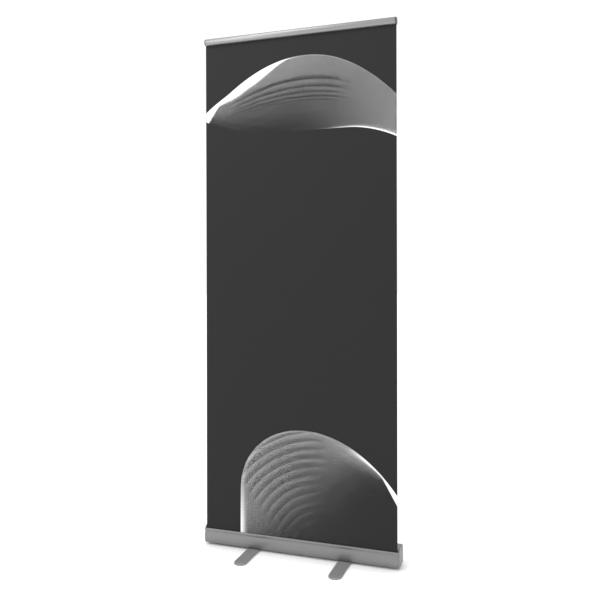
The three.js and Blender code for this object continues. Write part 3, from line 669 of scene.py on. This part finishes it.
# Sizes in millimetres of the die lines' pattern along each axis
ALONG_X = (400, 1.1, 1.1)
ALONG_Z = (1.1, 1.1, 400)
ETCHED = make_material("aluminium_housing_etched", anodised_aluminium, ALONG_X, "#7d7d7d", "#888888", 0.4)
ALUMINIUM_X = make_material("aluminium_extruded_along_x", anodised_aluminium, ALONG_X,
                            "#898989", "#959595", 0.34)
ALUMINIUM_Z = make_material("aluminium_drawn_along_z", anodised_aluminium, ALONG_Z,
                            "#898989", "#959595", 0.34)
COATED = make_material("aluminium_powder_coated", powder_coat, "#868686", "#929292")
GREY = make_material("abs_silver_grey", moulded_plastic, "#868687", "#8f8f90", 0.6)
CAP_GREY = make_material("abs_cap_grey", moulded_plastic, "#727273", "#7a7a7b", 0.6)
DARK_GREY = make_material("abs_dark_grey", moulded_plastic, "#4a4a4b", "#545455", 0.6)
BLACK = make_material("nylon_black", moulded_plastic, "#151618", "#1c1d1f", 0.6)
STEEL = make_material("steel_zinc_plated", zinc_plated_steel, "#a4a5a7", "#c4c5c7")
RUBBER = make_material("rubber_black", moulded_rubber, "#191919", "#262626")
PRINT = make_material("film_printed_matte", printed_film)
BACKING = make_material("film_blockout_backing", film_backing)


# Housing

def housing_skin():
    """From the bead on the front lip, down, under, up the back and over to the slot's rear edge."""
    y, z = LIP
    path = [(y, z)]
    path += curve(path[-1], (y - 2.6, z), (y - 2.6, z - 4.4), 8)
    path += curve(path[-1], (y - 2.6, z - 8.4), (y - 0.8, z - 10.6), 8)
    path += curve(path[-1], (y + 0.6, z - 13), (y - 1.4, z - 19), 10)
    path += curve(path[-1], (y - 4.4, z - 29), (y - 3.4, z - 42), 14)
    path += curve(path[-1], (y - 2.8, z - 51), (-36.2, 16), 10)
    path += curve(path[-1], (-35.4, HOUSING_BOTTOM), (-28, HOUSING_BOTTOM), 12)
    path += [(30, HOUSING_BOTTOM)]
    path += curve(path[-1], (38, HOUSING_BOTTOM), (38, HOUSING_BOTTOM + 8), 12)
    path += [(38, 66)]
    path += curve(path[-1], (36, HOUSING_TOP - 0.5), (18, HOUSING_TOP), 16)
    path += [(-16, HOUSING_TOP)]
    path += curve(path[-1], (-25, HOUSING_TOP), SLOT_REAR, 14)
    return path


def build_housing():
    section = wall(housing_skin(), HOUSING_WALL)
    shell = extrude("housing_shell", section, "X", -HOUSING_HALF, HOUSING_HALF, 0.25)
    ports = []
    for y, z in SCREW_PORTS:
        # A split tube for the screw, open towards the housing's middle
        turn = math.degrees(math.atan2(MIDDLE_Z - z, -y))
        slit = arc((y, z), PORT_RADIUS, turn + 20, turn + 340, 32)
        slit += arc((y, z), SCREW_HOLE_RADIUS, turn + 340, turn + 20, 24)
        ports.append(extrude("tool", slit, "X", -HOUSING_HALF + 0.3, HOUSING_HALF - 0.3, 0.05))
    join_to(shell, *ports)
    holes = [rod(RIVET_HOLE_RADIUS, "Z", (side * FOOT_X, 0), HOUSING_BOTTOM - 3, HOUSING_BOTTOM + 5)
             for side in (-1, 1)]
    holes.append(rod(SOCKET_RADIUS + 0.4, "Z", (0, POLE_Y), HOUSING_TOP - 5, HOUSING_TOP + 5))
    cut_from(shell, *holes)
    settle(shell, "housing", ETCHED, "housing_extrusion")


def screw_profile(head):
    """A pan head at a distance along the axis, its shank behind it, ending in a short point."""
    tip = head - SCREW_LENGTH
    return soften([(0, tip), (1.3, tip + 0.6), (SCREW_RADIUS, tip + 2), (SCREW_RADIUS, head),
                   (SCREW_HEAD_RADIUS, head), (SCREW_HEAD_RADIUS, head + 0.9), (2.6, head + 1.8),
                   (1.2, head + 2.1), (0, head + 2.15)], 0.3, closed=False)


def build_end_cap(name, side):
    closing = curve(SLOT_REAR, (-35.6, 76.5), LIP, 10)[:-1]
    outline = housing_skin() + closing
    # A flat rim, then a soft shoulder and a faint crown over the middle
    steps = [(CAP_START, 0), (CAP_START + 1.4, 0)]
    for angle in range(15, 91, 15):
        turn = math.radians(angle)
        steps.append((CAP_END - 1.2 - 3.4 * (1 - math.sin(turn)), 4.2 * (1 - math.cos(turn))))
    steps += [(CAP_END - 0.7, 8), (CAP_END - 0.25, 13), (CAP_END, 20)]
    rings = []
    for at, inset in steps:
        ring = outline if not inset else [shrink(point, inset) for point in outline]
        rings.append([(side * at, u, v) for u, v in ring])
    cap = loft(name + "_moulding", rings, sharp=40)
    start, end = sorted((side * (CAP_START - 3), side * (CAP_START + 1)))
    bearing = rod(BEARING_RADIUS, "X", ROLLER, start, end, ROUND)
    # Two ribs reach into the housing, along its floor and up its back
    rib_low, rib_high = sorted((side * (CAP_START - 6), side * (CAP_START + 1)))
    ribs = [extrude("tool", rectangle(-20, 20, 10.9, 12.9), "X", rib_low, rib_high),
            extrude("tool", rectangle(33.6, 35.6, 24, 62), "X", rib_low, rib_high)]
    join_to(cap, bearing, *ribs)
    seats = []
    for y, z in SCREW_PORTS:
        low, high = sorted((side * (CAP_START - 1), side * (CAP_END + 1)))
        seats.append(rod(SCREW_HOLE_RADIUS, "X", (y, z), low, high))
        low, high = sorted((side * (CAP_END - HEAD_RECESS), side * (CAP_END + 1)))
        seats.append(rod(SCREW_HEAD_RADIUS + 0.3, "X", (y, z), low, high))
    if side > 0:
        seats.append(rod(PIN_HOLE_RADIUS, "X", ROLLER, CAP_START - 4, CAP_START + 4))
    else:
        y, z = ROLLER
        key = rectangle(y - 4.1, y + 4.1, z - 2.8, z + 2.8)
        seats.append(extrude("tool", key, "X", -CAP_START - 4, -CAP_START + 4))
    cut_from(cap, *seats)
    settle(cap, "housing", CAP_GREY, name)
    for i, (y, z) in enumerate(SCREW_PORTS, 1):
        head = CAP_END - HEAD_RECESS + 0.3
        profile = screw_profile(head)
        screw = turned(f"{name}_cross_screw_{i}", profile if side > 0 else mirrored(profile), "X", (y, z), 48)
        low, high = sorted((side * (head + 0.9), side * (head + 4)))
        cross = [extrude("tool", rectangle(y - u, y + u, z - v, z + v, 0.3), "X", low, high, 0.1)
                 for u, v in ((0.4, 1.8), (1.8, 0.4))]
        cut_from(screw, *cross)
        settle(screw, "housing", STEEL, f"{name}_screw_{i}")


def shrink(point, inset):
    """Moves a point of the cap's outline straight towards the cap's middle."""
    here = Vector(point)
    inward = Vector(CAP_MIDDLE) - here
    return tuple(here + inward.normalized() * min(inset, 0.9 * inward.length))


# Feet

def shoe_outline(inset=0):
    """The nose is a half round with four grip notches; drawn for the front shoe, flat end first."""
    nose = FOOT_END - FOOT_HALF_WIDTH
    half = FOOT_HALF_WIDTH - inset
    points = [(half, -BAR_END - 0.3 - inset), (-half, -BAR_END - 0.3 - inset)]
    for i in range(121):
        angle = 180 + 1.5 * i
        reach = half
        for notch in NOTCHES:
            closeness = max(0, 1 - abs(angle - notch) / NOTCH_HALF_ANGLE)
            reach -= NOTCH_DEPTH * (3 - 2 * closeness) * closeness ** 2
        points.append((reach * math.cos(math.radians(angle)), -nose + reach * math.sin(math.radians(angle))))
    return points


def build_foot(side):
    name = "foot_left" if side < 0 else "foot_right"
    x = side * FOOT_X
    half = FOOT_HALF_WIDTH
    corners = [(-half, BAR_BOTTOM), (half, BAR_BOTTOM), (half, BAR_TOP), (-half, BAR_TOP)]
    bar = pipe(name + "_flat_bar", soften(corners, 1.6, steps=6), BAR_WALL, "Y", -BAR_END, BAR_END)
    cut_from(bar, rod(RIVET_HOLE_RADIUS, "Z", (0, 0), BAR_TOP - 2, BAR_TOP + 1),
             rod(RIVET_ACCESS_RADIUS, "Z", (0, 0), BAR_BOTTOM - 1, BAR_BOTTOM + 2))
    bar.location.x = x * MM
    settle(bar, name, COATED, name + "_bar")
    for end, turn in (("front", 0), ("back", math.pi)):
        rings = []
        for at, inset in ((0.5, 0.9), (0.75, 0.3), (1.2, 0), (5.6, 0), (6.3, 0.3), (6.75, 0.9), (7, 1.8)):
            rings.append([(u, v, at) for u, v in shoe_outline(inset)])
        shoe = loft(f"{name}_{end}_grip_shoe", rings)
        tongue = block(-half + 1.7, half - 1.7, -BAR_END - 1, -BAR_END + 14,
                       BAR_BOTTOM + 1.6, BAR_TOP - 1.6)
        join_to(shoe, tongue)
        # Three grip grooves across the shoe's top, each shorter than the one before
        grooves = []
        for i in range(3):
            reach = 19 - 1.5 * i
            y = -160.4 - 3.2 * i
            grooves.append(block(-reach, reach, y, y + 1, BAR_TOP, 8, 0.4, 0.1))
        cut_from(shoe, rod(PAD_RADIUS + 0.3, "Z", PAD_CENTRE, -1, 1.9), *grooves)
        profile = soften([(0, 0), (PAD_RADIUS - 0.6, 0), (PAD_RADIUS, 0.4), (PAD_RADIUS, 1.6), (0, 1.6)],
                         0.3, closed=False)
        pad = turned(f"{name}_{end}_rubber_pad", profile, "Z", PAD_CENTRE, 64)
        for piece, material, slot, node_name in (
                (shoe, GREY, "grey_moulding", f"{name}_{end}_shoe"),
                (pad, RUBBER, "black_rubber", f"{name}_{end}_pad")):
            piece.data.transform(Matrix.Rotation(turn, 4, "Z"))
            piece.location.x = x * MM
            settle(piece, name, material, node_name)


# Pole

def ribbed_nut(name, radius, low, high):
    """A twist nut: rounded flutes round the grip, fading into a plain crown and a rolled lower lip."""
    rings = []
    count = NUT_RIBS * 12
    crown = high - 4
    for at, base, depth in (
            (low, radius - 1, 0), (low + 0.5, radius - 0.2, 0), (low + 1.2, radius, 0),
            (low + 2.4, radius, 0.2), (low + 4, radius, 0.9), (crown - 2, radius, 0.9),
            (crown, radius - 0.1, 0.2), (crown + 1, radius - 0.5, 0), (high - 1.2, radius - 1.6, 0),
            (high - 0.3, radius - 2.6, 0), (high, radius - 3.4, 0)):
        ring = []
        for i in range(count):
            angle = 2 * math.pi * i / count
            flute = depth * max(0, math.cos(NUT_RIBS * angle)) ** 0.7
            ring.append(((base - flute) * math.cos(angle), POLE_Y + (base - flute) * math.sin(angle), at))
        rings.append(ring)
    return loft(name, rings, sharp=50)


def build_pole():
    bodies = ("housing", "pole_middle", "pole_upper")
    for i, (name, outer, inner) in enumerate(TUBES):
        low = POLE_BOTTOM + i * STEP
        high = low + SECTION
        profile = soften([(inner, low), (outer, low), (outer, high), (inner, high)], 0.25)
        tube = turned(f"pole_{name}_drawn_tube", profile, "Z", (0, POLE_Y))
        settle(tube, bodies[i], ALUMINIUM_Z, f"pole_{name}_tube")
        if i == 2:
            continue
        top = high - SLEEVE_BELOW_TOP
        foot = top - SLEEVE_HEIGHT
        sleeve = soften([(outer + 0.3, foot), (outer + 1.2, foot), (outer + 2.6, foot + 5),
                         (outer + 2.6, top - 9), (outer + 2.1, top - 8.4), (outer + 2.1, top - 7.4),
                         (outer + 2.6, top - 6.8), (outer + 2.6, top), (outer + 0.3, top)], 0.5)
        body = turned(f"twist_lock_sleeve_{name}", sleeve, "Z", (0, POLE_Y))
        settle(body, bodies[i], BLACK, f"lock_body_{name}")
        nut = ribbed_nut(f"twist_lock_nut_{name}", outer + NUT_WALL, top + 0.3, top + 0.3 + NUT_HEIGHT)
        cut_from(nut, rod(outer + 0.5, "Z", (0, POLE_Y), top - 1, high + 2, ROUND),
                 rod(TUBES[i + 1][1] + 0.3, "Z", (0, POLE_Y), top - 1, top + 30, ROUND))
        settle(nut, f"lock_nut_{name}", BLACK, f"lock_nut_{name}")

    top = HOUSING_TOP
    bore = TUBES[0][1] + 0.3
    under, floor = SOCKET_FLOOR
    cup = soften([(0, under), (SOCKET_RADIUS, under), (SOCKET_RADIUS, top + 0.3),
                  (SOCKET_FLANGE_RADIUS, top + 0.3), (SOCKET_FLANGE_RADIUS, top + 1.4),
                  (SOCKET_FLANGE_RADIUS - 1.2, top + 2.5), (bore, top + 2.5),
                  (bore, floor), (0, floor)], 0.5, closed=False)
    socket = turned("pole_socket_cup", cup, "Z", (0, POLE_Y))
    settle(socket, "housing", BLACK, "pole_socket")


def build_head():
    """A cap on the upper tube, with an arm forward to a hook in the rail's rear slot."""
    tube_top = POLE_BOTTOM + 2 * STEP + SECTION
    foot = tube_top - HEAD_SKIRT
    high = RAIL_BOTTOM + HOOK_TOP
    low = high - HOOK_THICKNESS
    profile = [(0, foot), (HEAD_RADIUS - 1.2, foot), (HEAD_RADIUS, foot + 5), (HEAD_RADIUS, high - 2.2),
               (HEAD_RADIUS - 2, high), (0, high)]
    skirt = turned("pole_head_hook", soften(profile, 0.8, closed=False), "Z", (0, POLE_Y))
    side_view = soften([(-22.4, low - 5.5), (POLE_Y - 6, low - 12), (POLE_Y, low - 12), (POLE_Y, high),
                        (-22.4, high)], 0.6)
    arm = extrude("tool", side_view, "X", -3, 3, 0.4)
    deck = block(-8, 8, -22.4, POLE_Y, low - 1, high, 0.8)
    saddle = block(-HOOK_HALF, HOOK_HALF, -29.3, -20, low, high, 0.8)
    tip = block(-HOOK_HALF, HOOK_HALF, -29.3, -25.1, high - 2, high + 4.8, 0.8)
    join_to(skirt, arm, deck, saddle, tip)
    cut_from(skirt, rod(TUBES[2][1] + 0.3, "Z", (0, POLE_Y), foot - 1, tube_top + 0.3, ROUND))
    settle(skirt, "pole_upper", BLACK, "pole_head")


# Rail: drawn at its heights above its lower edge, then lifted into place

def jaw_skin():
    path = [(HINGE[0], RAIL_HEIGHT)]
    path += curve(path[-1], (-46.6, RAIL_HEIGHT + 0.4), (-48, 16), 20)
    path += curve(path[-1], (-48.4, 0.4), (-39.5, 0), 20)
    return path


def rear_skin():
    """Round the back of the rail, from the web's foot to its top."""
    path = [(WEB_FRONT, 0), (RAIL_REAR - 4, 0)]
    path += curve(path[-1], (RAIL_REAR, 0), (RAIL_REAR, 4), 10)
    path += [(RAIL_REAR, RAIL_HEIGHT - 5)]
    path += curve(path[-1], (RAIL_REAR, RAIL_HEIGHT), (RAIL_REAR - 5, RAIL_HEIGHT), 10)
    path += [(WEB_FRONT, RAIL_HEIGHT)]
    return path


def along_rail(name, outline):
    return extrude(name, outline, "X", -RAIL_HALF, RAIL_HALF, 0.2)


def build_rail():
    z = HINGE[1]
    # The web ends at the front in a round bead on a thin neck, which the jaw's claw wraps
    neck = math.degrees(math.asin(NECK_HALF / HINGE_BEAD_RADIUS))
    bead = arc(HINGE, HINGE_BEAD_RADIUS, neck, 360 - neck, 24)
    back = rear_skin() + [(WEB_FRONT, z + NECK_HALF)] + bead + [(WEB_FRONT, z - NECK_HALF)]
    rear = along_rail("rail_rear_channel", back)
    inner_rear = RAIL_REAR - RAIL_WALL
    inner_top = RAIL_HEIGHT - RAIL_WALL
    inside = soften([(WEB_REAR, RAIL_WALL), (inner_rear, RAIL_WALL), (inner_rear, inner_top),
                     (WEB_REAR, inner_top)], 2.4)
    cut_from(rear, extrude("tool", inside, "X", -RAIL_HALF - 2, RAIL_HALF + 2),
             block(-HOOK_SLOT_HALF, HOOK_SLOT_HALF, RAIL_REAR - 3, RAIL_REAR + 1, 4, 16.5, 0.3, 0.4))

    claw = arc(HINGE, CLAW_OUTER, 90, 300, 24) + arc(HINGE, CLAW_INNER, 300, 90, 20)
    jaw = along_rail("rail_front_jaw", claw)
    shell = along_rail("tool", wall(jaw_skin(), JAW_WALL))
    lip = FILM_FRONT - 0.35
    foot = along_rail("tool", soften([(-40.5, 0), (lip, 0), (lip, 6.5), (lip - JAW_WALL, 6.5),
                                      (lip - JAW_WALL, JAW_WALL), (-40.5, JAW_WALL)], 0.4))
    join_to(jaw, shell, foot)
    pieces = [(rear, "rail", "anodised_aluminium", ALUMINIUM_X, "rail_back"),
              (jaw, "rail_jaw", "anodised_aluminium", ALUMINIUM_X, "rail_jaw")]

    outline = jaw_skin() + rear_skin()[1:-1]
    for name, side in (("rail_cap_left", -1), ("rail_cap_right", 1)):
        rings = []
        for past, inset in ((0.3, 0), (1.2, 0), (2.8, 0.3), (4.2, 1), (5.2, 2), (5.8, 3.2), (6, 4.6)):
            ring = [Vector(p) + (Vector(RAIL_MIDDLE) - Vector(p)).normalized() * inset for p in outline]
            rings.append([(side * (RAIL_HALF + past), u, v) for u, v in ring])
        cap = loft(name + "_dome", rings, sharp=40)
        start, end = sorted((side * (RAIL_HALF - 12.7), side * (RAIL_HALF + 1)))
        join_to(cap, extrude("tool", rectangle(-31.3, -25.1, 6, 14.5), "X", start, end))
        pieces.append((cap, "rail", "dark_grey_moulding", DARK_GREY, name))
    for piece, body, slot, material, node_name in pieces:
        piece.data.transform(Matrix.Translation((0, 0, RAIL_BOTTOM * MM)))
        settle(piece, body, material, node_name)


# Film

def build_film():
    """One thin sheet, front and back, flat at the slot and the rail and curling back a little between."""
    columns = 48
    rows = 120
    held_below = 90
    held_above = RAIL_BOTTOM - 10
    builder = bmesh.new()
    layers = []
    for face in (FILM_FRONT, FILM_BACK):
        grid = []
        for j in range(rows + 1):
            z = FILM_FOOT + (FILM_TOP - FILM_FOOT) * j / rows
            along = min(max((z - held_below) / (held_above - held_below), 0), 1)
            free = max(0, math.sin(math.pi * along))
            half = GRAPHIC_HALF if z < RAIL_BOTTOM - 1 else RAIL_HALF - 0.5
            line = []
            for i in range(columns + 1):
                across = 2 * i / columns - 1
                curl = FILM_CURL * free * across ** 6
                line.append(builder.verts.new((half * across * MM, (face + curl) * MM, z * MM)))
            grid.append(line)
        layers.append(grid)
    for j in range(rows):
        for i in range(columns):
            for grid in layers:
                builder.faces.new((grid[j][i], grid[j][i + 1], grid[j + 1][i + 1], grid[j + 1][i]))
    front, back = layers
    rim = [front[0], [r[-1] for r in front], front[-1][::-1], [r[0] for r in front][::-1]]
    rear_rim = [back[0], [r[-1] for r in back], back[-1][::-1], [r[0] for r in back][::-1]]
    for near, far in zip(rim, rear_rim):
        for i in range(len(near) - 1):
            builder.faces.new((near[i], far[i], far[i + 1], near[i + 1]))
    film = to_object("printed_graphic", builder)
    settle(film, "rail", PRINT, "banner_film")
    film.data.materials.append(BACKING)
    for face in film.data.polygons:
        face.material_index = 0 if face.normal.y < -0.5 else 1
    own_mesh(film)


def dress_frame():
    """Materials for the model's own inner pieces, which keep their shapes."""
    finishes = {
        ALUMINIUM_X: ["roller_tube"],
        BACKING: ["film_roll"],
        STEEL: ["idler_pin", "spring_arbor", "torsion_spring", "foot_left_rivet", "foot_right_rivet"],
        BLACK: ["roller_idler_plug", "roller_spring_plug", "arbor_collar", "foot_left_washer",
                "foot_right_washer", "pole_lower_plug", "pole_middle_plug", "pole_upper_plug"],
    }
    for material, names in finishes.items():
        for name in names:
            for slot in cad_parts[name].material_slots:
                slot.material = material


# Studio

def build_camera():
    """At chest height to the right of the stand, turned 19 degrees to the left and level."""
    yaw, pitch, roll = 0.3316, -0.0012, -0.0021
    ahead = Vector((-math.sin(yaw) * math.cos(pitch), math.cos(yaw) * math.cos(pitch), math.sin(pitch)))
    level = Vector((math.cos(yaw), math.sin(yaw), 0))
    upward = level.cross(ahead)
    right = math.cos(roll) * level + math.sin(roll) * upward
    up = math.cos(roll) * upward - math.sin(roll) * level
    data = bpy.data.cameras.new("camera")
    data.lens = 41.88
    data.sensor_width = 36
    data.shift_y = -0.05
    camera = bpy.data.objects.new("camera", data)
    place = (0.913, -2.652, 1.144)
    turned_to = Matrix((right, up, -ahead)).transposed().to_4x4()
    camera.matrix_world = Matrix.Translation(place) @ turned_to
    bpy.context.scene.collection.objects.link(camera)
    bpy.context.scene.camera = camera


def add_softbox(name, place, aim, width, height, power):
    data = bpy.data.lights.new(name, "AREA")
    data.shape = "RECTANGLE"
    data.size = width
    data.size_y = height
    data.energy = power
    light = bpy.data.objects.new(name, data)
    light.location = place
    light.rotation_mode = "QUATERNION"
    light.rotation_quaternion = (Vector(aim) - Vector(place)).to_track_quat("-Z", "Y")
    bpy.context.scene.collection.objects.link(light)


def build_studio():
    builder = bmesh.new()
    bmesh.ops.create_circle(builder, cap_ends=True, radius=30, segments=96)
    floor = to_object("floor", builder)
    floor.data.materials.append(make_material("studio_floor", floor_with_painted_glow))

    world = bpy.data.worlds.new("studio")
    world.use_nodes = True
    world.node_tree.nodes["Background"].inputs["Color"].default_value = (1, 1, 1, 1)
    world.node_tree.nodes["Background"].inputs["Strength"].default_value = 1.06
    bpy.context.scene.world = world
    add_softbox("key_left", (-3.0, -3.4, 3.6), (-0.3, 0, 1.9), width=1.8, height=2.8, power=58)
    add_softbox("overhead_front", (-0.9, -1.5, 3.9), (0, 0, 0), width=1.4, height=1.0, power=22)
    bpy.context.scene.view_settings.view_transform = "Standard"


build_camera()
build_housing()
build_end_cap("end_cap_left", -1)
build_end_cap("end_cap_right", 1)
build_foot(-1)
build_foot(1)
build_pole()
build_head()
build_rail()
build_film()
dress_frame()
build_studio()
